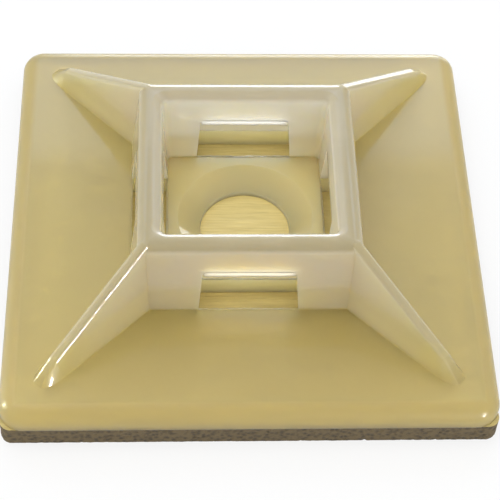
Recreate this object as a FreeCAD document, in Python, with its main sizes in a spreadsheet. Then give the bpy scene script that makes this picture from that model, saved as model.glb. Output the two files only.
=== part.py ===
import FreeCAD, Part
import math
import os
import Sketcher

# Four-way cable tie mount: a square nylon moulding on a die-cut foam pad.
# The origin is the middle of the pad's underside, +Z is up, millimetres.

SIZES = [
    ("plate_side", 28.0, "side of the square base plate"),
    ("plate_thickness", 1.35, "thickness of the base plate"),
    ("plate_corner", 1.35, "corner radius of the base plate"),
    ("plate_edge", 0.95, "round along the plate's upper edge"),
    ("foam_thickness", 1.35, "thickness of the foam pad with its two layers of glue"),
    ("foam_corner", 0.7, "corner radius of the die-cut pad"),
    ("well_side", 9.3, "inner side of the square ring at its foot"),
    ("well_corner", 0.35, "radius of the ring's upright inner corners"),
    ("wall_foot", 2.2, "thickness of a ring wall at its foot"),
    ("ring_corner", 0.7, "radius of the ring's upright outer corners"),
    ("ring_rise", 5.1, "height of the ring above the plate"),
    ("inner_draft", 4.0, "draft of the ring's inner faces in degrees"),
    ("outer_draft", 6.5, "draft of the ring's outer faces in degrees"),
    ("crest_round", 0.58, "round along both edges of the ring's crest"),
    ("slot_foot", 5.95, "width of a tie slot at the plate's underside"),
    ("slot_head", 5.3, "width of a tie slot under its bridge"),
    ("slot_rise", 3.1, "clear height of a tie slot above the plate"),
    ("slot_corner", 0.3, "corner radius of a tie slot under its bridge"),
    ("rib_foot", 1.7, "width of a corner rib at the plate"),
    ("rib_crest", 0.66, "width of a corner rib at its crest"),
    ("rib_round", 0.24, "round along both edges of a rib's crest"),
    ("rib_reach", 16.75, "diagonal distance from the centre to a rib's toe"),
    ("toe_rise", 1.2, "height of the rib where its toe turns down"),
    ("toe_run", 1.3, "diagonal length of the toe"),
    ("root_depth", 0.3, "depth to which a rib is rooted in the plate"),
    ("hole_diameter", 5.4, "diameter of the screw hole"),
    ("sink_diameter", 8.1, "diameter of the countersink at the well's floor"),
    ("sink_depth", 1.0, "depth of the countersink"),
]

# Places that follow from the sizes above.
PLACES = [
    ("plate_top", "=foam_thickness + plate_thickness", "height of the plate's top"),
    ("ring_foot", "=well_side + 2 * wall_foot", "outer side of the ring at its foot"),
    ("crest_inner", "=well_side / 2 + ring_rise * tan(inner_draft * 1deg)", "inner face at the crest"),
    ("crest_outer", "=ring_foot / 2 - ring_rise * tan(outer_draft * 1deg)", "outer face at the crest"),
    ("crest_middle", "=(crest_inner + crest_outer) / 2", "middle of the crest"),
    ("rib_start", "=crest_outer - 0.6 * crest_round", "where a rib leaves the crest"),
    ("toe_start", "=(rib_reach - toe_run) / sqrt(2)", "where a rib's toe turns down"),
    ("toe_fall", "=root_depth / 2", "depth of the toe's end inside the plate"),
    ("toe_end", "=(rib_reach + toe_run * toe_fall / toe_rise) / sqrt(2)", "end of the toe in the plate"),
    ("toe_round", "=root_depth / 6", "round of the toe's buried end"),
    ("hole_land", "=plate_top - sink_depth", "height where the countersink ends"),
]

SIDES = 4

doc = FreeCAD.newDocument("cable_tie_mount")
sheet = doc.addObject("Spreadsheet::Sheet", "Sizes")
for row, (alias, content, meaning) in enumerate(SIZES + PLACES, start=1):
    sheet.set(f"A{row}", meaning)
    sheet.set(f"B{row}", str(content))
    sheet.setAlias(f"B{row}", alias)
doc.recompute()


def size(alias):
    return float(sheet.get(alias))


def new_body(name):
    body = doc.addObject("PartDesign::Body", name)
    body.Label = name
    return body


def new_sketch(body, name, role, offsets=None, turn=0.0):
    """A sketch on an origin plane of its body, turned about the plane's upright axis and
    moved by the named sizes, which are given by the plane's own x, y and z."""
    sketch = body.newObject("Sketcher::SketchObject", name)
    plane = next(item for item in body.Origin.OriginFeatures if item.Role == role)
    sketch.AttachmentSupport = [(plane, "")]
    sketch.MapMode = "FlatFace"
    rotation = FreeCAD.Rotation(FreeCAD.Vector(0, 1, 0), turn)
    sketch.AttachmentOffset = FreeCAD.Placement(FreeCAD.Vector(), rotation)
    for axis, formula in (offsets or {}).items():
        sketch.setExpression(f"AttachmentOffset.Base.{axis}", formula)
    return sketch


def bind(sketch, constraint, name, formula):
    index = sketch.addConstraint(constraint)
    sketch.renameConstraint(index, name)
    sketch.setExpression(f"Constraints.{name}", formula)


def add_polygon(sketch, points):
    """Straight lines round the points, joined end to end."""
    corners = [FreeCAD.Vector(x, y, 0) for x, y in points]
    closed = corners[1:] + corners[:1]
    lines = [sketch.addGeometry(Part.LineSegment(a, b)) for a, b in zip(corners, closed)]
    for index, first in enumerate(lines):
        second = lines[(index + 1) % len(lines)]
        sketch.addConstraint(Sketcher.Constraint("Coincident", first, 2, second, 1))
    return lines


def square_sketch(body, name, side, height):
    """A square about the Z axis at the named height."""
    half = size(side) / 2
    sketch = new_sketch(body, name, "XY_Plane", {"z": f"Sizes.{height}"} if height else None)
    points = [(-half, -half), (half, -half), (half, half), (-half, half)]
    bottom, right, top, left = add_polygon(sketch, points)
    for level in (bottom, top):
        sketch.addConstraint(Sketcher.Constraint("Horizontal", level))
    for upright in (right, left):
        sketch.addConstraint(Sketcher.Constraint("Vertical", upright))
    sketch.addConstraint(Sketcher.Constraint("Symmetric", bottom, 1, top, 1, -1, 1))
    bind(sketch, Sketcher.Constraint("Distance", bottom, 2 * half), "width", f"Sizes.{side}")
    bind(sketch, Sketcher.Constraint("Distance", right, 2 * half), "depth", f"Sizes.{side}")
    return sketch


def add_feature(body, kind, name, profile=None):
    feature = body.newObject(f"PartDesign::{kind}", name)
    if profile:
        feature.Profile = profile
    return feature


def add_fillet(body, name, chosen, radius):
    """A fillet on the edges of the body's present tip for which chosen(edge) is true."""
    doc.recompute()
    base = body.Tip
    names = [f"Edge{i}" for i, edge in enumerate(base.Shape.Edges, start=1) if chosen(edge)]
    if not names:
        raise RuntimeError(f"{name} found no edges")
    fillet = body.newObject("PartDesign::Fillet", name)
    fillet.Base = (base, names)
    fillet.setExpression("Radius", f"Sizes.{radius}")
    body.Tip = fillet
    return fillet


def add_pattern(body, name, original):
    """The feature repeated on all four sides about the Z axis."""
    pattern = body.newObject("PartDesign::PolarPattern", name)
    pattern.Originals = [original]
    axis = next(item for item in body.Origin.OriginFeatures if item.Role == "Z_Axis")
    pattern.Axis = (axis, [""])
    pattern.Angle = 360
    pattern.Occurrences = SIDES
    body.Tip = pattern
    return pattern


def ends(edge):
    return [vertex.Point for vertex in edge.Vertexes]


def is_level(edge, height):
    """True for an edge that lies at one height."""
    box = edge.BoundBox
    return abs(box.ZMin - height) < 1e-4 and abs(box.ZMax - height) < 1e-4


def climbs(edge, low, high):
    """True for an edge that runs from one height to another."""
    box = edge.BoundBox
    return abs(box.ZMin - low) < 1e-4 and abs(box.ZMax - high) < 1e-4


def make_plate(body):
    """The base plate, with round corners and a round upper edge."""
    outline = square_sketch(body, "PlateOutline", "plate_side", "foam_thickness")
    plate = add_feature(body, "Pad", "Plate", outline)
    plate.setExpression("Length", "Sizes.plate_thickness")
    low, high = size("foam_thickness"), size("plate_top")
    add_fillet(body, "PlateCorners", lambda edge: climbs(edge, low, high), "plate_corner")
    add_fillet(body, "PlateEdge", lambda edge: is_level(edge, high), "plate_edge")


def make_ring(body):
    """The square ring of four drafted walls round the well."""
    outer = square_sketch(body, "RingOutline", "ring_foot", "plate_top")
    ring = add_feature(body, "Pad", "Ring", outer)
    ring.setExpression("Length", "Sizes.ring_rise")
    ring.setExpression("TaperAngle", "-Sizes.outer_draft")
    inner = square_sketch(body, "WellOutline", "well_side", "plate_top")
    well = add_feature(body, "Pocket", "Well", inner)
    well.Reversed = True
    well.setExpression("Length", "Sizes.ring_rise")
    well.setExpression("TaperAngle", "Sizes.inner_draft")
    foot, crest = size("plate_top"), size("plate_top") + size("ring_rise")
    inside = size("crest_inner") + 1e-3

    def is_corner(edge, within):
        reach = max(abs(point.x) for point in ends(edge))
        return climbs(edge, foot, crest) and (reach < inside) == within

    add_fillet(body, "WellCorners", lambda edge: is_corner(edge, True), "well_corner")
    add_fillet(body, "RingCorners", lambda edge: is_corner(edge, False), "ring_corner")
    add_fillet(body, "CrestRounds", lambda edge: is_level(edge, crest), "crest_round")


def rib_section(body, name, place, rise, crest, bend):
    """An upright section of the front right rib, across the plate's diagonal: a drafted
    web with a round at each side of its crest. Heights count from the plate's top."""
    offsets = {"x": f"Sizes.{place}", "y": "Sizes.plate_top", "z": f"Sizes.{place}"}
    sketch = new_sketch(body, name, "XZ_Plane", offsets, turn=45)
    root, foot, top = size("root_depth"), size("rib_foot") / 2, rise[0]
    radius, flat = size(bend), crest[0] / 2 - size(bend)
    centre = FreeCAD.Vector(flat, top - radius, 0)
    corner = FreeCAD.Vector(foot, -root, 0)
    reach = corner - centre
    lean = math.atan2(reach.y, reach.x) + math.acos(radius / reach.Length)
    touch = centre + FreeCAD.Vector(radius * math.cos(lean), radius * math.sin(lean), 0)

    def mirrored(point):
        return FreeCAD.Vector(-point.x, point.y, 0)

    def round_at(middle, first, last):
        circle = Part.Circle(middle, FreeCAD.Vector(0, 0, 1), radius)
        return sketch.addGeometry(Part.ArcOfCircle(circle, first, last))

    peak = FreeCAD.Vector(flat, top, 0)
    base = sketch.addGeometry(Part.LineSegment(mirrored(corner), corner))
    right = sketch.addGeometry(Part.LineSegment(corner, touch))
    right_round = round_at(centre, lean, math.pi / 2)
    level = sketch.addGeometry(Part.LineSegment(peak, mirrored(peak)))
    left_round = round_at(mirrored(centre), math.pi / 2, math.pi - lean)
    left = sketch.addGeometry(Part.LineSegment(mirrored(touch), mirrored(corner)))
    rule = Sketcher.Constraint
    for link in (rule("Coincident", base, 2, right, 1), rule("Tangent", right, 2, right_round, 1),
                 rule("Tangent", right_round, 2, level, 1), rule("Tangent", level, 2, left_round, 1),
                 rule("Tangent", left_round, 2, left, 1), rule("Coincident", left, 2, base, 1),
                 rule("Symmetric", base, 1, base, 2, -2), rule("Symmetric", level, 1, level, 2, -2),
                 rule("Equal", right_round, left_round)):
        sketch.addConstraint(link)
    bind(sketch, rule("Distance", base, 2 * foot), "foot", "Sizes.rib_foot")
    bind(sketch, rule("DistanceY", base, 1, -1, 1, root), "root", "Sizes.root_depth")
    bind(sketch, rule("Radius", right_round, radius), "bend", f"Sizes.{bend}")
    bind(sketch, rule("Distance", level, 2 * flat), "crest", crest[1])
    bind(sketch, rule("DistanceY", base, 1, level, 1, root + top), "rise", rise[1])
    return sketch


def make_ribs(body):
    """Four ribs that slope from the ring's corners to a blunt toe near the plate's corners."""
    full = (size("ring_rise"), "Sizes.ring_rise + Sizes.root_depth")
    toe = (size("toe_rise"), "Sizes.toe_rise + Sizes.root_depth")
    buried = (-size("toe_fall"), "Sizes.root_depth - Sizes.toe_fall")
    flat = (size("rib_crest"), "Sizes.rib_crest - 2 * Sizes.rib_round")
    blunt = (size("rib_crest"), "Sizes.rib_crest - 2 * Sizes.toe_round")
    sections = [
        rib_section(body, "RibInRing", "crest_middle", full, flat, "rib_round"),
        rib_section(body, "RibShoulder", "rib_start", full, flat, "rib_round"),
        rib_section(body, "RibToe", "toe_start", toe, flat, "rib_round"),
        rib_section(body, "RibEnd", "toe_end", buried, blunt, "toe_round"),
    ]
    rib = add_feature(body, "AdditiveLoft", "Rib", sections[0])
    rib.Sections = [(section, [""]) for section in sections[1:]]
    rib.Ruled = True
    add_pattern(body, "Ribs", rib)


def make_slots(body):
    """A tie slot through each wall, and below it the window that its mould core leaves."""
    outline = new_sketch(body, "SlotOutline", "XZ_Plane", {"z": "Sizes.ring_foot / 2"})
    foot, head = size("slot_foot") / 2, size("slot_head") / 2
    low, high = size("foam_thickness"), size("plate_top") + size("slot_rise")
    points = [(-foot, low), (foot, low), (head, high), (-head, high)]
    sill, right, bridge, left = add_polygon(outline, points)
    rule = Sketcher.Constraint
    outline.addConstraint(rule("Symmetric", sill, 1, sill, 2, -2))
    outline.addConstraint(rule("Symmetric", bridge, 1, bridge, 2, -2))
    bind(outline, rule("Distance", sill, 2 * foot), "foot", "Sizes.slot_foot")
    bind(outline, rule("Distance", bridge, 2 * head), "head", "Sizes.slot_head")
    bind(outline, rule("DistanceY", -1, 1, sill, 1, low), "underside", "Sizes.foam_thickness")
    bind(outline, rule("DistanceY", -1, 1, bridge, 1, high), "rise", "Sizes.plate_top + Sizes.slot_rise")
    slot = add_feature(body, "Pocket", "Slot", outline)
    slot.setExpression("Length", "Sizes.wall_foot")
    add_pattern(body, "Slots", slot)

    def is_bridge_corner(edge):
        across = sorted(abs(step) for step in edge.tangentAt(edge.FirstParameter))
        straight = len(edge.Vertexes) == 2 and across[2] > 1 - 1e-6
        return straight and is_level(edge, high) and edge.Length < size("wall_foot")

    add_fillet(body, "SlotCorners", is_bridge_corner, "slot_corner")


def make_screw_hole(body):
    """The countersunk hole in the well's floor."""
    profile = new_sketch(body, "HoleProfile", "XZ_Plane")
    hole, sink = size("hole_diameter") / 2, size("sink_diameter") / 2
    low, land, top = size("foam_thickness"), size("hole_land"), size("plate_top")
    points = [(0, low), (hole, low), (hole, land), (sink, top), (0, top)]
    floor, wall, cone, mouth, middle = add_polygon(profile, points)
    rule = Sketcher.Constraint
    profile.addConstraint(rule("Horizontal", floor))
    profile.addConstraint(rule("Vertical", wall))
    profile.addConstraint(rule("Horizontal", mouth))
    profile.addConstraint(rule("PointOnObject", middle, 1, -2))
    profile.addConstraint(rule("PointOnObject", middle, 2, -2))
    bind(profile, rule("Distance", floor, hole), "hole", "Sizes.hole_diameter / 2")
    bind(profile, rule("Distance", mouth, sink), "sink", "Sizes.sink_diameter / 2")
    bind(profile, rule("DistanceY", -1, 1, middle, 2, low), "underside", "Sizes.foam_thickness")
    bind(profile, rule("DistanceY", -1, 1, wall, 2, land), "land", "Sizes.hole_land")
    bind(profile, rule("DistanceY", -1, 1, middle, 1, top), "floor", "Sizes.plate_top")
    groove = add_feature(body, "Groove", "ScrewHole", profile)
    groove.ReferenceAxis = (profile, ["V_Axis"])
    groove.Angle = 360
    body.Tip = groove


def make_tie_mount():
    body = new_body("tie_mount")
    make_plate(body)
    make_ring(body)
    make_ribs(body)
    make_slots(body)
    make_screw_hole(body)
    return body


def make_adhesive_pad():
    """The die-cut foam pad, cut square to the plate and whole under every opening."""
    body = new_body("adhesive_pad")
    outline = square_sketch(body, "PadOutline", "plate_side", None)
    pad = add_feature(body, "Pad", "Foam", outline)
    pad.setExpression("Length", "Sizes.foam_thickness")
    high = size("foam_thickness")
    add_fillet(body, "FoamCorners", lambda edge: climbs(edge, 0, high), "foam_corner")
    return body


def check_document(bodies):
    doc.recompute()
    failed = [item.Name for item in doc.Objects if {"Invalid", "Error"} & set(item.State)]
    if failed:
        raise RuntimeError(f"failed features: {failed}")
    for body in bodies:
        shape = body.Shape
        if shape.isNull() or not shape.isValid() or len(shape.Solids) != 1:
            raise RuntimeError(f"{body.Label} is not one valid solid")
        print(f"{body.Label}: {shape.Volume:.2f} mm3, {len(shape.Faces)} faces, {shape.BoundBox}")


bodies = [make_tie_mount(), make_adhesive_pad()]
check_document(bodies)
os.makedirs("parts", exist_ok=True)
for body in bodies:
    body.Shape.exportStep(f"parts/{body.Label}.step")
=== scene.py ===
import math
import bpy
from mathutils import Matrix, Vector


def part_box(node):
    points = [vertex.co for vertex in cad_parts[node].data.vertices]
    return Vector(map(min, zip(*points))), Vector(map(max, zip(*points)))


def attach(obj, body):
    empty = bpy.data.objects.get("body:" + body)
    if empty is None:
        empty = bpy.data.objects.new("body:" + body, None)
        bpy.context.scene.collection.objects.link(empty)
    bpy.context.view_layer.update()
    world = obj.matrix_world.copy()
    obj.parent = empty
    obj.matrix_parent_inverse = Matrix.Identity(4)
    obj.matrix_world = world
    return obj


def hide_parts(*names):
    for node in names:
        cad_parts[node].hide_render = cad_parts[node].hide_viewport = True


bl_info = {
    "name": "Cable Tie Mount",
    "version": (1, 0, 0),
    "blender": (4, 5, 0),
    "location": "View3D > Sidebar > Tie Mount",
    "description": "Finishes a self-adhesive nylon cable tie mount: nylon, foam pad and studio",
    "category": "Object",
}

import bpy
from bpy.props import FloatProperty, FloatVectorProperty, IntProperty, PointerProperty
from mathutils import Vector

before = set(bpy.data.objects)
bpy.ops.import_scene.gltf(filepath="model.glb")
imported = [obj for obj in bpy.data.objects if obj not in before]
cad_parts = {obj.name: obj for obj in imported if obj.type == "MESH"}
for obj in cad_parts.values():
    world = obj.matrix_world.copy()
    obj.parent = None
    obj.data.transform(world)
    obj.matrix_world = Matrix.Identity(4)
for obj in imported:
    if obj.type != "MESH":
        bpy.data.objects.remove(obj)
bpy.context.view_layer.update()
PAD_LOW, PAD_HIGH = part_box("adhesive_pad")

MM = 0.001

# The moulding's finish changes at these places, in millimetres. The first is the height of the
# plate's top. The others are distances from the middle, square to a side: just outside the
# well's foot, the crest's inner edge and its middle, the start of the ribs, a line outside
# which the plate has no slot, and the start of the plate's rounded rim.
PLATE_TOP = 2.7
WELL_FOOT = 4.75
CREST_INNER = 5.05
CREST_MIDDLE = 5.75
RIB_START = 6.5
SLOT_LIMIT = 9.0
RIM_START = 12.9

# The adhesive wets the plate, so the pad's glued face stands this far inside the nylon.
WETTING = 0.01 * MM

# Two kinds of mould flash edge the slots, in millimetres: name, width, distances from the middle
# to a wall's inner and outer face, level of the slot's edge, and raggedness.
# The flash under the bridges is deeper than real flash, because it also brings the slots' upper
# edges down to where the photograph has them.
FLASHES = (
    ("bridge_flash", 5.22, 4.867, 6.497, 5.8, 0.9),
    ("sill_flash", 5.8, 4.65, 6.85, PLATE_TOP, 5.0))

# Each lamp has a name, width, height, radiance, tint and place, in metres, then the point that it
# faces and the spread of its light in degrees, where these differ from the other lamps'.
MOUNT_MIDDLE = (0.0, 0.0, 0.003)

# These light the mount, and its gloss doesn't mirror them. The last three stand in for light
# that real resin carries into the well and under the bridges.
FILL_LAMPS = (
    ("rear_sky", 0.90, 0.30, 1.9, "BCD6FF", (-0.05, 0.55, 0.40)),
    ("top_softbox", 0.22, 0.22, 4.0, "FFFCF6", (-0.18, 0.12, 0.56)),
    ("well_light", 0.009, 0.009, 0.22, "FFFAF0", (0.0, 0.0, 0.045), MOUNT_MIDDLE, 2.0),
    ("rear_slot_light", 0.005, 0.0012, 2.6, "E8F0FF", (0.0, 0.0057, 0.0054), (0.0, 0.0057, 0.01)),
    ("front_slot_light", 0.005, 0.0012, 3.0, "F4F4F4", (0.0, -0.0057, 0.0054), (0.0, -0.0057, 0.01)))

# These are mirrored along the crests. The last two also lighten the plate a little.
GLOSS_LAMPS = (
    ("rear_lamp", 0.26, 0.36, 7.5, "F4F8FF", (0.07, 0.64, 0.17)),
    ("sky_strip", 0.90, 0.07, 1.6, "A8CCFF", (0.0, 0.55, 0.59)),
    ("rib_card", 0.020, 0.010, 3.6, "F4F8FF", (0.022, 0.042, 0.004), (0.008, 0.008, 0.005)),
    ("left_card", 0.08, 0.20, 85.0, "F6FBDC", (-0.62, 0.12, 0.14)),
    ("front_card", 0.08, 0.20, 80.0, "FFFAF2", (0.36, -0.56, 0.12)))

# The camera's turn in degrees, from a fit to the photograph's edges.
CAMERA_TURN = (37.0762, -1.9207, -1.6360)


def linear(code):
    """An sRGB hex colour as linear RGBA."""
    shares = [int(code[i:i + 2], 16) / 255 for i in (0, 2, 4)]
    return [s / 12.92 if s <= 0.04045 else ((s + 0.055) / 1.055) ** 2.4 for s in shares] + [1.0]


def add_node(tree, kind, inputs=None, **settings):
    """Adds a node. Settings are its own properties; inputs are values or sockets to link."""
    made = tree.nodes.new(kind)
    for key, value in settings.items():
        setattr(made, key, value)
    for key, value in (inputs or {}).items():
        if isinstance(value, bpy.types.NodeSocket):
            tree.links.new(value, made.inputs[key])
        else:
            made.inputs[key].default_value = value
    return made


def empty_material(name):
    """A material whose nodes are still to be added."""
    material = bpy.data.materials.new(name)
    material.use_nodes = True
    material.node_tree.nodes.clear()
    return material


def natural_nylon(settings):
    """Natural polyamide 6.6, injection moulded. The resin lets most of the light through and
    is faintly milky, so the plate shows the tan foam glued below it, and the thick walls
    turn greyish white."""
    material = empty_material("natural nylon, injection moulded")
    tree = material.node_tree
    place = add_node(tree, "ShaderNodeTexCoord").outputs["Object"]
    in_mm = add_node(tree, "ShaderNodeVectorMath", {
        0: place, "Scale": 1 / MM}, operation="SCALE").outputs[0]
    size = add_node(tree, "ShaderNodeVectorMath", {0: in_mm}, operation="ABSOLUTE").outputs[0]
    parts = add_node(tree, "ShaderNodeSeparateXYZ", {0: size}).outputs
    outward = add_node(tree, "ShaderNodeMath", {0: parts[0], 1: parts[1]}, operation="MAXIMUM").outputs[0]

    # The haze grows with height above the plate. The upright faces of the ring and the ribs
    # have a whole wall behind them and are hazy from the foot, and thin ribs are less hazy.
    facing = add_node(tree, "ShaderNodeNewGeometry").outputs["Normal"]
    upward = add_node(tree, "ShaderNodeSeparateXYZ", {0: facing}).outputs[2]
    thick = add_node(tree, "ShaderNodeMapRange", {
        "Value": parts[2], "From Min": PLATE_TOP, "From Max": PLATE_TOP + 2.4},
        interpolation_type="SMOOTHSTEP").outputs[0]
    above = add_node(tree, "ShaderNodeMapRange", {
        "Value": parts[2], "From Min": PLATE_TOP, "From Max": PLATE_TOP + 0.15}).outputs[0]
    wall = add_node(tree, "ShaderNodeMapRange", {
        "Value": upward, "From Min": 0.5, "From Max": 0.2, "To Min": 0.0, "To Max": 0.75}).outputs[0]
    wall = add_node(tree, "ShaderNodeMath", {0: wall, 1: above}, operation="MULTIPLY").outputs[0]
    thick = add_node(tree, "ShaderNodeMath", {0: thick, 1: wall}, operation="MAXIMUM").outputs[0]
    cloud = add_node(tree, "ShaderNodeTexNoise", {
        "Vector": in_mm, "Scale": 0.35, "Detail": 3.0, "Roughness": 0.55}).outputs[0]
    cloudy = add_node(tree, "ShaderNodeMapRange", {
        "Value": cloud, "From Min": 0.3, "From Max": 0.7, "To Min": -0.08, "To Max": 0.08}).outputs[0]
    haze = add_node(tree, "ShaderNodeMath", {
        0: thick, 1: cloudy}, operation="ADD", use_clamp=True).outputs[0]
    thin = add_node(tree, "ShaderNodeMapRange", {
        "Value": outward, "From Min": RIB_START, "From Max": RIB_START + 3.5,
        "To Min": 1.0, "To Max": 0.7}).outputs[0]
    haze = add_node(tree, "ShaderNodeMath", {0: haze, 1: thin}, operation="MULTIPLY").outputs[0]

    # The wall tint is partly the resin's own milky colour and partly painted light: it is kept light for
    # the upright faces, which get less light than the plate.
    colour = add_node(tree, "ShaderNodeMix", {
        0: haze, 6: settings.plate_tint, 7: settings.wall_tint}, data_type="RGBA").outputs[2]

    # The walls inside the ring are painted whitest: painted light for the light they pass to one another.
    inside = add_node(tree, "ShaderNodeMapRange", {
        "Value": outward, "From Min": CREST_MIDDLE, "From Max": CREST_INNER}).outputs[0]
    inside = add_node(tree, "ShaderNodeMath", {0: inside, 1: haze}, operation="MULTIPLY").outputs[0]
    colour = add_node(tree, "ShaderNodeMix", {
        0: inside, 6: colour, 7: settings.inner_light_tint}, data_type="RGBA").outputs[2]

    # The crests' upward faces are painted darker, less on their inner half: painted shade that takes back
    # the light they catch from above, so that they look as deep in resin as the walls.
    flat = add_node(tree, "ShaderNodeMapRange", {
        "Value": upward, "From Min": 0.15, "From Max": 0.6}).outputs[0]
    deep = add_node(tree, "ShaderNodeMath", {0: haze, 1: flat}, operation="MULTIPLY").outputs[0]
    outer_half = add_node(tree, "ShaderNodeMapRange", {
        "Value": inside, "To Min": 1.0, "To Max": 0.65}).outputs[0]
    deep = add_node(tree, "ShaderNodeMath", {0: deep, 1: outer_half}, operation="MULTIPLY").outputs[0]
    colour = add_node(tree, "ShaderNodeMix", {
        0: deep, 6: colour, 7: settings.crest_shade_tint}, data_type="RGBA").outputs[2]
    clear = add_node(tree, "ShaderNodeMapRange", {
        "Value": haze, "To Min": settings.plate_clarity, "To Max": settings.wall_clarity}).outputs[0]

    # In the slots, the plate's upright faces are painted pale and made less clear: painted light for the
    # light that reaches them through the well.
    upright = add_node(tree, "ShaderNodeMath", {0: upward, 1: 0.3}, operation="LESS_THAN").outputs[0]
    in_plate = add_node(tree, "ShaderNodeMath", {
        0: parts[2], 1: PLATE_TOP - 0.05}, operation="LESS_THAN").outputs[0]
    in_slot = add_node(tree, "ShaderNodeMath", {
        0: outward, 1: SLOT_LIMIT}, operation="LESS_THAN").outputs[0]
    lit_slot_faces = add_node(tree, "ShaderNodeMath", {0: upright, 1: in_plate}, operation="MULTIPLY").outputs[0]
    lit_slot_faces = add_node(tree, "ShaderNodeMath", {0: lit_slot_faces, 1: in_slot}, operation="MULTIPLY").outputs[0]
    colour = add_node(tree, "ShaderNodeMix", {
        0: lit_slot_faces, 6: colour, 7: settings.slot_face_light_tint}, data_type="RGBA").outputs[2]
    clear = add_node(tree, "ShaderNodeMix", {
        0: lit_slot_faces, 2: clear, 3: settings.slot_face_clarity}, data_type="FLOAT").outputs[0]

    # The floor of the well is milkier than the plate.
    low = add_node(tree, "ShaderNodeMath", {
        0: parts[2], 1: PLATE_TOP + 0.05}, operation="LESS_THAN").outputs[0]
    in_ring = add_node(tree, "ShaderNodeMath", {0: outward, 1: WELL_FOOT}, operation="LESS_THAN").outputs[0]
    floor = add_node(tree, "ShaderNodeMath", {0: low, 1: in_ring}, operation="MULTIPLY").outputs[0]
    lying = add_node(tree, "ShaderNodeMath", {0: 1.0, 1: upright}, operation="SUBTRACT").outputs[0]
    floor = add_node(tree, "ShaderNodeMath", {0: floor, 1: lying}, operation="MULTIPLY").outputs[0]
    colour = add_node(tree, "ShaderNodeMix", {
        0: floor, 6: colour, 7: settings.floor_tint}, data_type="RGBA").outputs[2]
    clear = add_node(tree, "ShaderNodeMix", {
        0: floor, 2: clear, 3: settings.floor_clarity}, data_type="FLOAT").outputs[0]

    # The rim is less clear and less glossy than the plate.
    rim = add_node(tree, "ShaderNodeMapRange", {
        "Value": outward, "From Min": RIM_START, "From Max": RIM_START + 0.3}).outputs[0]
    gloss = add_node(tree, "ShaderNodeMapRange", {
        "Value": rim, "To Min": 1.0, "To Max": settings.rim_gloss}).outputs[0]
    colour = add_node(tree, "ShaderNodeMix", {
        0: rim, 6: colour, 7: settings.rim_tint}, data_type="RGBA").outputs[2]
    clear = add_node(tree, "ShaderNodeMix", {
        0: rim, 2: clear, 3: settings.rim_clarity}, data_type="FLOAT").outputs[0]

    # A mould's polished steel leaves slow waves, and sharp arrises are slightly broken.
    waves = add_node(tree, "ShaderNodeTexNoise", {
        "Vector": in_mm, "Scale": 0.6, "Detail": 2.0, "Roughness": 0.5}).outputs[0]
    arris = add_node(tree, "ShaderNodeBevel", {"Radius": 0.1 * MM}, samples=4).outputs[0]
    bump = add_node(tree, "ShaderNodeBump", {
        "Strength": 0.5, "Distance": 0.05 * MM, "Height": waves, "Normal": arris}).outputs[0]
    shader = add_node(tree, "ShaderNodeBsdfPrincipled", {
        "Base Color": colour, "Roughness": settings.blur, "IOR": 1.53, "Specular IOR Level": 0.1,
        "Coat Weight": gloss, "Coat Roughness": settings.polish, "Coat IOR": 1.53,
        "Subsurface Weight": 1.0, "Subsurface Radius": (1.0, 0.9, 0.7), "Subsurface Scale": 2.0 * MM,
        "Transmission Weight": clear, "Normal": bump})
    add_node(tree, "ShaderNodeOutputMaterial", {0: shader.outputs[0]})
    return material


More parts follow.
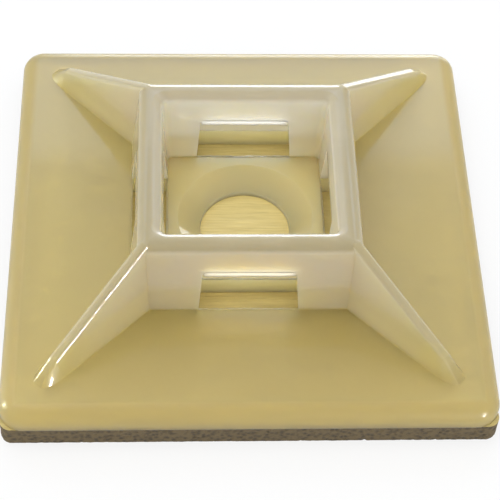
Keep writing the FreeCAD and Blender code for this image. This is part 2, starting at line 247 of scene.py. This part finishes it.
def tape_foam(settings):
    """Polyethylene foam tape: a closed-cell core with open cells at its cut edge, and a
    rolled-on acrylic adhesive whose roller lines show in the screw hole. The cut edge is
    painted dark brown and its open cells darker still: painted shade for the side under
    the plate and inside the cells."""
    material = empty_material("polyethylene foam tape, die-cut")
    tree = material.node_tree
    place = add_node(tree, "ShaderNodeTexCoord").outputs["Object"]
    in_mm = add_node(tree, "ShaderNodeVectorMath", {
        0: place, "Scale": 1 / MM}, operation="SCALE").outputs[0]
    facing = add_node(tree, "ShaderNodeNewGeometry").outputs["Normal"]
    upward = add_node(tree, "ShaderNodeSeparateXYZ", {0: facing}).outputs[2]
    glued = add_node(tree, "ShaderNodeMath", {0: upward, 1: 0.9}, operation="GREATER_THAN").outputs[0]

    # Cells of about a third of a millimetre, cut open by the die.
    cells = add_node(tree, "ShaderNodeTexVoronoi", {"Vector": in_mm, "Scale": 3.2}).outputs["Distance"]
    grit = add_node(tree, "ShaderNodeTexNoise", {"Vector": in_mm, "Scale": 6.0, "Detail": 4.0}).outputs[0]
    cut = add_node(tree, "ShaderNodeMath", {0: cells, 1: grit}, operation="MULTIPLY").outputs[0]
    open_cell = add_node(tree, "ShaderNodeMapRange", {
        "Value": cut, "From Min": 0.05, "From Max": 0.32}).outputs[0]
    # Painted shade: the cut edge under the plate is dark brown, and the open cells are darker still.
    edge = add_node(tree, "ShaderNodeMix", {
        0: open_cell, 6: settings.pore_shade_tint, 7: settings.edge_shade_tint}, data_type="RGBA").outputs[2]

    # Roller lines run along the tape, 0.15 mm apart, drawn longer than they are wide.
    stretched = add_node(tree, "ShaderNodeMapping", {
        "Vector": in_mm, "Scale": (0.5, 6.0, 1.0)}).outputs[0]
    lines = add_node(tree, "ShaderNodeTexNoise", {
        "Vector": stretched, "Scale": 1.0, "Detail": 4.0}).outputs[0]
    lined = add_node(tree, "ShaderNodeMapRange", {
        "Value": lines, "From Min": 0.3, "From Max": 0.7}).outputs[0]
    glue = add_node(tree, "ShaderNodeMix", {
        0: lined, 6: settings.glue_shade, 7: settings.glue_tint}, data_type="RGBA").outputs[2]
    colour = add_node(tree, "ShaderNodeMix", {0: glued, 6: edge, 7: glue}, data_type="RGBA").outputs[2]
    relief = add_node(tree, "ShaderNodeMix", {
        0: glued, 2: open_cell, 3: lined}, data_type="FLOAT").outputs[0]
    roughness = add_node(tree, "ShaderNodeMapRange", {
        "Value": glued, "To Min": 0.9, "To Max": 0.45}).outputs[0]
    bump = add_node(tree, "ShaderNodeBump", {
        "Strength": 0.6, "Distance": 0.06 * MM, "Height": relief}).outputs[0]
    shader = add_node(tree, "ShaderNodeBsdfPrincipled", {
        "Base Color": colour, "Roughness": roughness, "Normal": bump})
    add_node(tree, "ShaderNodeOutputMaterial", {0: shader.outputs[0]})
    return material


def pad_tree():
    """A rounded square slab whose cut side is dented by the foam's open cells. The side is
    a grid wrapped round the outline, and both faces are filled from the same outline."""
    tree = bpy.data.node_groups.new("Die-cut foam pad", "GeometryNodeTree")
    face = tree.interface
    for name, kind, value in (
            ("Side", "NodeSocketFloat", 0.028), ("Thickness", "NodeSocketFloat", 0.00135),
            ("Corner Radius", "NodeSocketFloat", 0.0007), ("Cell Size", "NodeSocketFloat", 0.0003),
            ("Cell Depth", "NodeSocketFloat", 0.0001), ("Steps Round", "NodeSocketInt", 1400),
            ("Steps Up", "NodeSocketInt", 18), ("Seed", "NodeSocketFloat", 4.0),
            ("Material", "NodeSocketMaterial", None)):
        socket = face.new_socket(name, in_out="INPUT", socket_type=kind)
        if value is not None:
            socket.default_value = value
    face.new_socket("Geometry", in_out="OUTPUT", socket_type="NodeSocketGeometry")
    given = add_node(tree, "NodeGroupInput").outputs

    square = add_node(tree, "GeometryNodeCurvePrimitiveQuadrilateral", {
        "Width": given["Side"], "Height": given["Side"]}).outputs[0]
    outline = add_node(tree, "GeometryNodeFilletCurve", {
        "Curve": square, "Radius": given["Corner Radius"], "Count": 12}, mode="POLY").outputs[0]
    stepped = add_node(tree, "GeometryNodeResampleCurve", {
        "Curve": outline, "Count": given["Steps Round"]}, mode="COUNT").outputs[0]
    columns = add_node(tree, "ShaderNodeMath", {
        0: given["Steps Round"], 1: 1.0}, operation="ADD").outputs[0]
    rows = add_node(tree, "ShaderNodeMath", {0: given["Steps Up"], 1: 1.0}, operation="ADD").outputs[0]
    sheet = add_node(tree, "GeometryNodeMeshGrid", {
        "Size X": 1.0, "Size Y": 1.0, "Vertices X": columns, "Vertices Y": rows}).outputs["Mesh"]
    spot = add_node(tree, "ShaderNodeSeparateXYZ", {
        0: add_node(tree, "GeometryNodeInputPosition").outputs[0]}).outputs
    along = add_node(tree, "ShaderNodeMath", {0: spot[0], 1: 0.5}, operation="ADD").outputs[0]
    up = add_node(tree, "ShaderNodeMath", {0: spot[1], 1: 0.5}, operation="ADD").outputs[0]
    height = add_node(tree, "ShaderNodeMath", {
        0: up, 1: given["Thickness"]}, operation="MULTIPLY").outputs[0]
    on_outline = add_node(tree, "GeometryNodeSampleCurve", {
        "Curves": stepped, "Factor": along}, mode="FACTOR").outputs["Position"]
    lifted = add_node(tree, "ShaderNodeVectorMath", {
        0: on_outline, 1: add_node(tree, "ShaderNodeCombineXYZ", {2: height}).outputs[0]},
        operation="ADD").outputs[0]
    side = add_node(tree, "GeometryNodeSetPosition", {"Geometry": sheet, "Position": lifted}).outputs[0]
    underside = add_node(tree, "GeometryNodeFillCurve", {"Curve": stepped}, mode="NGONS").outputs[0]
    raised = add_node(tree, "ShaderNodeCombineXYZ", {2: given["Thickness"]}).outputs[0]
    top = add_node(tree, "GeometryNodeTransform", {"Geometry": underside, "Translation": raised}).outputs[0]
    turned = add_node(tree, "GeometryNodeFlipFaces", {"Mesh": underside}).outputs[0]
    joined = add_node(tree, "GeometryNodeJoinGeometry")
    for item in (side, turned, top):
        tree.links.new(item, joined.inputs[0])
    closed = add_node(tree, "GeometryNodeMergeByDistance", {
        "Geometry": joined.outputs[0], "Distance": 2e-6}).outputs[0]

    # The way outwards from the slab: square to a side, and round each corner.
    place = add_node(tree, "GeometryNodeInputPosition").outputs[0]
    half = add_node(tree, "ShaderNodeMath", {0: given["Side"], 1: 0.5}, operation="MULTIPLY").outputs[0]
    straight = add_node(tree, "ShaderNodeMath", {
        0: half, 1: given["Corner Radius"]}, operation="SUBTRACT").outputs[0]
    limit = add_node(tree, "ShaderNodeCombineXYZ", {0: straight, 1: straight, 2: 1.0}).outputs[0]
    size = add_node(tree, "ShaderNodeVectorMath", {0: place}, operation="ABSOLUTE").outputs[0]
    past = add_node(tree, "ShaderNodeVectorMath", {0: size, 1: limit}, operation="SUBTRACT").outputs[0]
    past = add_node(tree, "ShaderNodeVectorMath", {0: past, 1: (0, 0, 0)}, operation="MAXIMUM").outputs[0]
    way = add_node(tree, "ShaderNodeVectorMath", {0: past}, operation="NORMALIZE").outputs[0]
    sign = add_node(tree, "ShaderNodeVectorMath", {0: place}, operation="SIGN").outputs[0]
    outward = add_node(tree, "ShaderNodeVectorMath", {0: way, 1: sign}, operation="MULTIPLY").outputs[0]

    # Open cells are shallow bowls on a slightly ragged cut.
    pitch = add_node(tree, "ShaderNodeMath", {0: 1.0, 1: given["Cell Size"]}, operation="DIVIDE").outputs[0]
    cells = add_node(tree, "ShaderNodeTexVoronoi", {
        "Vector": place, "W": given["Seed"], "Scale": pitch}, voronoi_dimensions="4D").outputs["Distance"]
    bowl = add_node(tree, "ShaderNodeMapRange", {
        "Value": cells, "From Min": 0.45, "From Max": 0.05}, interpolation_type="SMOOTHSTEP").outputs[0]
    ragged = add_node(tree, "ShaderNodeTexNoise", {
        "Vector": place, "W": given["Seed"], "Scale": pitch, "Detail": 3.0},
        noise_dimensions="4D").outputs[0]
    depth = add_node(tree, "ShaderNodeMath", {0: bowl, 1: ragged}, operation="ADD").outputs[0]
    depth = add_node(tree, "ShaderNodeMath", {
        0: depth, 1: given["Cell Depth"]}, operation="MULTIPLY").outputs[0]
    inward = add_node(tree, "ShaderNodeMath", {0: depth, 1: -1.0}, operation="MULTIPLY").outputs[0]
    move = add_node(tree, "ShaderNodeVectorMath", {
        0: outward, "Scale": inward}, operation="SCALE").outputs[0]
    dented = add_node(tree, "GeometryNodeSetPosition", {"Geometry": closed, "Offset": move}).outputs[0]
    plain = add_node(tree, "GeometryNodeRealizeInstances", {"Geometry": dented}).outputs[0]
    finished = add_node(tree, "GeometryNodeSetMaterial", {
        "Geometry": plain, "Material": given["Material"]}).outputs[0]
    add_node(tree, "NodeGroupOutput", {0: finished})
    return tree


def flash_tree():
    """Thin ragged strips of flash along the edges of the four tie slots, on both faces of
    each wall. They grow from a level, downwards for a positive drop and upwards for a
    negative one, as deep as a noise says."""
    tree = bpy.data.node_groups.new("Mould flash", "GeometryNodeTree")
    face = tree.interface
    for name, kind, value in (
            ("Width", "NodeSocketFloat", 0.0052), ("Inner Face", "NodeSocketFloat", 0.0049),
            ("Outer Face", "NodeSocketFloat", 0.0065), ("Level", "NodeSocketFloat", 0.0058),
            ("Drop", "NodeSocketFloat", 0.0003), ("Thickness", "NodeSocketFloat", 0.00008),
            ("Raggedness", "NodeSocketFloat", 0.5), ("Seed", "NodeSocketFloat", 1.0),
            ("Material", "NodeSocketMaterial", None)):
        socket = face.new_socket(name, in_out="INPUT", socket_type=kind)
        if value is not None:
            socket.default_value = value
    face.new_socket("Geometry", in_out="OUTPUT", socket_type="NodeSocketGeometry")
    given = add_node(tree, "NodeGroupInput").outputs

    # A strip starts as a thin bar along the slot's edge, rooted a little in the wall.
    root = 0.02 * MM
    box_size = add_node(tree, "ShaderNodeCombineXYZ", {
        0: given["Width"], 1: given["Thickness"], 2: root}).outputs[0]
    strip = add_node(tree, "GeometryNodeMeshCube", {
        "Size": box_size, "Vertices X": 80, "Vertices Y": 2, "Vertices Z": 2}).outputs["Mesh"]
    joined = add_node(tree, "GeometryNodeJoinGeometry")
    half = add_node(tree, "ShaderNodeMath", {
        0: given["Thickness"], 1: 0.5}, operation="MULTIPLY").outputs[0]
    for key, way in (("Inner Face", "ADD"), ("Outer Face", "SUBTRACT")):
        inset = add_node(tree, "ShaderNodeMath", {0: given[key], 1: half}, operation=way).outputs[0]
        spot = add_node(tree, "ShaderNodeCombineXYZ", {1: inset, 2: given["Level"]}).outputs[0]
        placed = add_node(tree, "GeometryNodeTransform", {
            "Geometry": strip, "Translation": spot}).outputs[0]
        tree.links.new(placed, joined.inputs[0])
    walls = add_node(tree, "GeometryNodeMeshLine", {"Count": 4, "Offset": (0, 0, 0)}).outputs[0]
    number = add_node(tree, "GeometryNodeInputIndex").outputs[0]
    turn = add_node(tree, "ShaderNodeMath", {0: number, 1: math.pi / 2}, operation="MULTIPLY").outputs[0]
    spin = add_node(tree, "ShaderNodeCombineXYZ", {2: turn}).outputs[0]
    spread = add_node(tree, "GeometryNodeInstanceOnPoints", {
        "Points": walls, "Instance": joined.outputs[0], "Rotation": spin}).outputs[0]
    plain = add_node(tree, "GeometryNodeRealizeInstances", {"Geometry": spread}).outputs[0]

    # The free edge of each strip is moved by the drop times a noise about a millimetre long.
    place = add_node(tree, "GeometryNodeInputPosition").outputs[0]
    height = add_node(tree, "ShaderNodeSeparateXYZ", {0: place}).outputs[2]
    above = add_node(tree, "ShaderNodeMath", {
        0: height, 1: given["Level"]}, operation="SUBTRACT").outputs[0]
    side = add_node(tree, "ShaderNodeMath", {0: above, 1: given["Drop"]}, operation="MULTIPLY").outputs[0]
    free = add_node(tree, "ShaderNodeMath", {0: side, 1: 0.0}, operation="LESS_THAN").outputs[0]
    ragged = add_node(tree, "ShaderNodeTexNoise", {
        "Vector": place, "W": given["Seed"], "Scale": 1100.0, "Detail": 4.0, "Roughness": 0.7},
        noise_dimensions="4D").outputs[0]
    uneven = add_node(tree, "ShaderNodeMath", {0: ragged, 1: 0.5}, operation="SUBTRACT").outputs[0]
    uneven = add_node(tree, "ShaderNodeMath", {
        0: uneven, 1: given["Raggedness"], 2: 1.0}, operation="MULTIPLY_ADD").outputs[0]
    depth = add_node(tree, "ShaderNodeMath", {0: given["Drop"], 1: uneven}, operation="MULTIPLY").outputs[0]
    down = add_node(tree, "ShaderNodeMath", {0: depth, 1: -1.0}, operation="MULTIPLY").outputs[0]
    move = add_node(tree, "ShaderNodeCombineXYZ", {2: down}).outputs[0]
    torn = add_node(tree, "GeometryNodeSetPosition", {
        "Geometry": plain, "Selection": free, "Offset": move}).outputs[0]
    finished = add_node(tree, "GeometryNodeSetMaterial", {
        "Geometry": torn, "Material": given["Material"]}).outputs[0]
    add_node(tree, "NodeGroupOutput", {0: finished})
    return tree


def built_mesh(tree, name, values):
    """The tree's result as a plain mesh object at the origin."""
    holder = bpy.data.objects.new(name + "_maker", bpy.data.meshes.new(name + "_maker"))
    bpy.context.scene.collection.objects.link(holder)
    modifier = holder.modifiers.new("Maker", "NODES")
    modifier.node_group = tree
    for item in tree.interface.items_tree:
        if item.name in values:
            modifier[item.identifier] = values[item.name]
    seen = holder.evaluated_get(bpy.context.evaluated_depsgraph_get())
    mesh = bpy.data.meshes.new_from_object(seen)
    mesh.name = name
    bpy.data.objects.remove(holder)
    piece = bpy.data.objects.new(name, mesh)
    bpy.context.scene.collection.objects.link(piece)
    return piece


def softbox(name, width, height, radiance, tint, place, target=MOUNT_MIDDLE, spread=180.0):
    """A rectangular softbox of an even radiance, unseen by the camera itself."""
    data = bpy.data.lights.new(name, "AREA")
    data.shape = "RECTANGLE"
    data.size = width
    data.size_y = height
    data.energy = radiance * math.pi * width * height
    data.color = linear(tint)[:3]
    data.spread = math.radians(spread)
    lamp = bpy.data.objects.new(name, data)
    bpy.context.scene.collection.objects.link(lamp)
    lamp.location = place
    way = Vector(target) - Vector(place)
    lamp.rotation_euler = way.to_track_quat("-Z", "Y").to_euler()
    lamp.visible_camera = False
    return lamp


def paper_ground(white_share):
    """White paper: white to the camera and in reflections, with the mount's soft shadow. The
    share of it that is plain white leaves the rest to take the shadow."""
    material = empty_material("white paper, matte")
    tree = material.node_tree
    path = add_node(tree, "ShaderNodeLightPath").outputs
    seen = add_node(tree, "ShaderNodeMath", {
        0: path["Is Camera Ray"], 1: path["Is Glossy Ray"]}, operation="MAXIMUM").outputs[0]
    seen = add_node(tree, "ShaderNodeMath", {
        0: seen, 1: path["Is Transmission Ray"]}, operation="MAXIMUM").outputs[0]
    share = add_node(tree, "ShaderNodeMath", {0: seen, 1: white_share}, operation="MULTIPLY").outputs[0]
    paper = add_node(tree, "ShaderNodeBsdfDiffuse", {"Color": linear("FAFAF8")}).outputs[0]
    white = add_node(tree, "ShaderNodeEmission", {"Color": linear("FFFFFF"), "Strength": 1.0}).outputs[0]
    mixed = add_node(tree, "ShaderNodeMixShader", {0: share, 1: paper, 2: white}).outputs[0]
    add_node(tree, "ShaderNodeOutputMaterial", {0: mixed})
    return material


class NylonSettings(bpy.types.PropertyGroup):
    plate_tint: FloatVectorProperty(
        name="Plate Tint", description="Colour of the resin in the thin plate", subtype="COLOR", size=4,
        default=linear("F8EEAD"), min=0.0, max=1.0)
    # Partly painted light: the wall tint is kept light for the upright faces.
    wall_tint: FloatVectorProperty(
        name="Wall Tint", description="Colour of the resin in the thick walls", subtype="COLOR", size=4,
        default=linear("DCD2B9"), min=0.0, max=1.0)
    # Painted light: the whitening of the walls inside the ring.
    inner_light_tint: FloatVectorProperty(
        name="Inner Light Tint", description="Colour of the walls inside the ring", subtype="COLOR", size=4,
        default=linear("F4F0E6"), min=0.0, max=1.0)
    # Painted shade: the darkening of the crests' upward faces.
    crest_shade_tint: FloatVectorProperty(
        name="Crest Shade Tint", description="Colour of the crests, seen from above", subtype="COLOR", size=4,
        default=linear("B6AA86"), min=0.0, max=1.0)
    floor_tint: FloatVectorProperty(
        name="Floor Tint", description="Colour of the floor of the well", subtype="COLOR", size=4,
        default=linear("F2E0A2"), min=0.0, max=1.0)
    rim_tint: FloatVectorProperty(
        name="Rim Tint", description="Colour of the plate's rounded rim", subtype="COLOR", size=4,
        default=linear("E6D59A"), min=0.0, max=1.0)
    # Painted light: the paleness of the plate's upright faces in the slots.
    slot_face_light_tint: FloatVectorProperty(
        name="Slot Face Light Tint", description="Colour of the plate's faces in the slots", subtype="COLOR", size=4,
        default=linear("F8EDC6"), min=0.0, max=1.0)
    plate_clarity: FloatProperty(
        name="Plate Clarity", description="Share of light that passes the plate",
        default=0.94, min=0.0, max=1.0)
    wall_clarity: FloatProperty(
        name="Wall Clarity", description="Share of light that passes the walls",
        default=0.20, min=0.0, max=1.0)
    slot_face_clarity: FloatProperty(
        name="Slot Face Clarity", description="Share of light that passes the plate's faces in the slots",
        default=0.3, min=0.0, max=1.0)
    floor_clarity: FloatProperty(
        name="Floor Clarity", description="Share of light that passes the well's floor",
        default=0.55, min=0.0, max=1.0)
    rim_clarity: FloatProperty(
        name="Rim Clarity", description="Share of light that passes the plate's rim",
        default=0.7, min=0.0, max=1.0)
    rim_gloss: FloatProperty(
        name="Rim Gloss", description="Gloss of the plate's rim, as a share of the skin's",
        default=0.15, min=0.0, max=1.0)
    blur: FloatProperty(
        name="Blur", description="Blur of what is seen through the resin", default=0.36, min=0.0, max=1.0)
    polish: FloatProperty(
        name="Polish", description="Roughness of the moulded skin", default=0.07, min=0.0, max=1.0)


class PadSettings(bpy.types.PropertyGroup):
    side: FloatProperty(
        name="Side", description="Side of the pad", default=PAD_HIGH.x - PAD_LOW.x, unit="LENGTH")
    thickness: FloatProperty(
        name="Thickness", description="Thickness of the pad",
        default=PAD_HIGH.z - PAD_LOW.z, unit="LENGTH")
    corner: FloatProperty(
        name="Corner Radius", description="Radius of the die's corners", default=0.7 * MM, unit="LENGTH")
    cell: FloatProperty(
        name="Cell Size", description="Spacing of the foam's cells", default=0.3 * MM, unit="LENGTH")
    depth: FloatProperty(
        name="Cell Depth", description="Depth of the open cells at the cut edge",
        default=0.07 * MM, unit="LENGTH")
    # Painted shade: the cut edge's dark brown and the open cells' darker brown.
    edge_shade_tint: FloatVectorProperty(
        name="Edge Tint", description="Colour of the cut edge", subtype="COLOR", size=4,
        default=linear("706042"), min=0.0, max=1.0)
    pore_shade_tint: FloatVectorProperty(
        name="Pore Shade Tint", description="Colour of the open cells", subtype="COLOR", size=4,
        default=linear("4A4030"), min=0.0, max=1.0)
    glue_tint: FloatVectorProperty(
        name="Adhesive Tint", description="Colour of the adhesive", subtype="COLOR", size=4,
        default=linear("DAC885"), min=0.0, max=1.0)
    glue_shade: FloatVectorProperty(
        name="Adhesive Shade", description="Colour between the roller lines", subtype="COLOR", size=4,
        default=linear("C8B676"), min=0.0, max=1.0)
    seed: IntProperty(name="Seed", description="Seed of the cells", default=4, min=0)


class FlashSettings(bpy.types.PropertyGroup):
    thickness: FloatProperty(
        name="Thickness", description="Thickness of the flash", default=0.08 * MM, unit="LENGTH")
    bridge_drop: FloatProperty(
        name="Bridge Flash", description="Mean depth of the flash under the bridges",
        default=0.36 * MM, unit="LENGTH")
    sill_rise: FloatProperty(
        name="Sill Flash", description="Mean height of the flash on the sills",
        default=0.05 * MM, unit="LENGTH")
    seed: IntProperty(name="Seed", description="Seed of the ragged edge", default=3, min=0)


class StageSettings(bpy.types.PropertyGroup):
    ground: FloatProperty(
        name="Ground", description="Side of the paper ground", default=1.6, min=0.2, unit="LENGTH")
    white_share: FloatProperty(
        name="White Share", description="Share of the ground that no shadow darkens",
        default=0.8, min=0.0, max=1.0)
    ambient: FloatProperty(
        name="Ambient", description="Strength of the even light all round", default=0.84, min=0.0)
    view_from: FloatVectorProperty(
        name="Camera Place", description="Place of the camera", size=3, subtype="TRANSLATION",
        unit="LENGTH", default=(-0.0039822, -0.0600926, 0.0789523))
    lens: FloatProperty(
        name="Lens", description="Focal length for a 36 mm frame, in millimetres", default=116.392, min=1.0)


class TIEMOUNT_OT_dress_moulding(bpy.types.Operator):
    """Finish the moulding in natural nylon"""
    bl_idname = "tiemount.dress_moulding"
    bl_label = "Dress Moulding"

    def execute(self, context):
        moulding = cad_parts["tie_mount"]
        moulding.data.materials.clear()
        moulding.data.materials.append(natural_nylon(context.scene.tiemount_nylon))
        return {"FINISHED"}


class TIEMOUNT_OT_build_flash(bpy.types.Operator):
    """Build the thin flash that the mould left along the edges of the tie slots"""
    bl_idname = "tiemount.build_flash"
    bl_label = "Build Mould Flash"

    def execute(self, context):
        settings = context.scene.tiemount_flash
        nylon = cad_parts["tie_mount"].data.materials[0]
        drops = (settings.bridge_drop, -settings.sill_rise)
        for (name, width, inner, outer, level, ragged), drop in zip(FLASHES, drops):
            flash = built_mesh(flash_tree(), name, {
                "Width": width * MM, "Inner Face": inner * MM, "Outer Face": outer * MM,
                "Level": level * MM, "Drop": drop, "Thickness": settings.thickness,
                "Raggedness": ragged, "Seed": float(settings.seed), "Material": nylon})
            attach(flash, "root")
        return {"FINISHED"}


class TIEMOUNT_OT_build_pad(bpy.types.Operator):
    """Build the die-cut foam pad with its porous edge and rolled adhesive"""
    bl_idname = "tiemount.build_pad"
    bl_label = "Build Foam Pad"

    def execute(self, context):
        settings = context.scene.tiemount_pad
        pad = built_mesh(pad_tree(), "foam_pad", {
            "Side": settings.side, "Thickness": settings.thickness + WETTING,
            "Corner Radius": settings.corner, "Cell Size": settings.cell, "Cell Depth": settings.depth,
            "Seed": float(settings.seed), "Material": tape_foam(settings)})
        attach(pad, "root")
        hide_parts("adhesive_pad")
        return {"FINISHED"}


class TIEMOUNT_OT_build_stage(bpy.types.Operator):
    """Set the white ground, the softboxes and the camera"""
    bl_idname = "tiemount.build_stage"
    bl_label = "Build Stage"

    def execute(self, context):
        settings = context.scene.tiemount_stage
        half = settings.ground / 2
        mesh = bpy.data.meshes.new("paper_ground")
        corners = [(-half, -half, 0), (half, -half, 0), (half, half, 0), (-half, half, 0)]
        mesh.from_pydata(corners, [], [(0, 1, 2, 3)])
        ground = bpy.data.objects.new("paper_ground", mesh)
        context.scene.collection.objects.link(ground)
        mesh.materials.append(paper_ground(settings.white_share))

        for row in FILL_LAMPS:
            softbox(*row).visible_glossy = False
        for row in GLOSS_LAMPS:
            lamp = softbox(*row)
            lamp.visible_diffuse = False
            lamp.visible_transmission = False

        world = bpy.data.worlds.new("studio")
        world.use_nodes = True
        tree = world.node_tree
        tree.nodes.clear()
        path = add_node(tree, "ShaderNodeLightPath").outputs
        seen = add_node(tree, "ShaderNodeMath", {
            0: path["Is Camera Ray"], 1: path["Is Transmission Ray"]}, operation="MAXIMUM").outputs[0]
        level = add_node(tree, "ShaderNodeMapRange", {
            "Value": seen, "To Min": settings.ambient, "To Max": 1.0}).outputs[0]
        sky = add_node(tree, "ShaderNodeBackground", {
            "Color": linear("FFFFFF"), "Strength": level}).outputs[0]
        add_node(tree, "ShaderNodeOutputWorld", {0: sky})
        context.scene.world = world

        lens = bpy.data.cameras.new("camera")
        lens.sensor_width = 36.0
        lens.lens = settings.lens
        lens.clip_start = 0.005
        camera = bpy.data.objects.new("camera", lens)
        context.scene.collection.objects.link(camera)
        camera.location = settings.view_from
        camera.rotation_euler = [math.radians(a) for a in CAMERA_TURN]
        context.scene.camera = camera
        context.scene.view_settings.view_transform = "Standard"
        return {"FINISHED"}


OPERATORS = (
    TIEMOUNT_OT_build_stage, TIEMOUNT_OT_dress_moulding, TIEMOUNT_OT_build_flash, TIEMOUNT_OT_build_pad)


class TIEMOUNT_PT_panel(bpy.types.Panel):
    """The mount's pieces and their sizes and colours"""
    bl_idname = "TIEMOUNT_PT_panel"
    bl_label = "Cable Tie Mount"
    bl_space_type = "VIEW_3D"
    bl_region_type = "UI"
    bl_category = "Tie Mount"

    def draw(self, context):
        scene = context.scene
        groups = (scene.tiemount_nylon, scene.tiemount_flash, scene.tiemount_pad, scene.tiemount_stage)
        for group in groups:
            column = self.layout.column(align=True)
            for name in group.__annotations__:
                column.prop(group, name)
        for operator in OPERATORS:
            self.layout.operator(operator.bl_idname)


CLASSES = (NylonSettings, FlashSettings, PadSettings, StageSettings) + OPERATORS + (TIEMOUNT_PT_panel,)


def register():
    for item in CLASSES:
        bpy.utils.register_class(item)
    bpy.types.Scene.tiemount_nylon = PointerProperty(type=NylonSettings)
    bpy.types.Scene.tiemount_flash = PointerProperty(type=FlashSettings)
    bpy.types.Scene.tiemount_pad = PointerProperty(type=PadSettings)
    bpy.types.Scene.tiemount_stage = PointerProperty(type=StageSettings)


def unregister():
    del bpy.types.Scene.tiemount_stage
    del bpy.types.Scene.tiemount_pad
    del bpy.types.Scene.tiemount_flash
    del bpy.types.Scene.tiemount_nylon
    for item in reversed(CLASSES):
        bpy.utils.unregister_class(item)


def main():
    register()
    bpy.ops.tiemount.build_stage()
    bpy.ops.tiemount.dress_moulding()
    bpy.ops.tiemount.build_flash()
    bpy.ops.tiemount.build_pad()


if __name__ == "__main__":
    main()
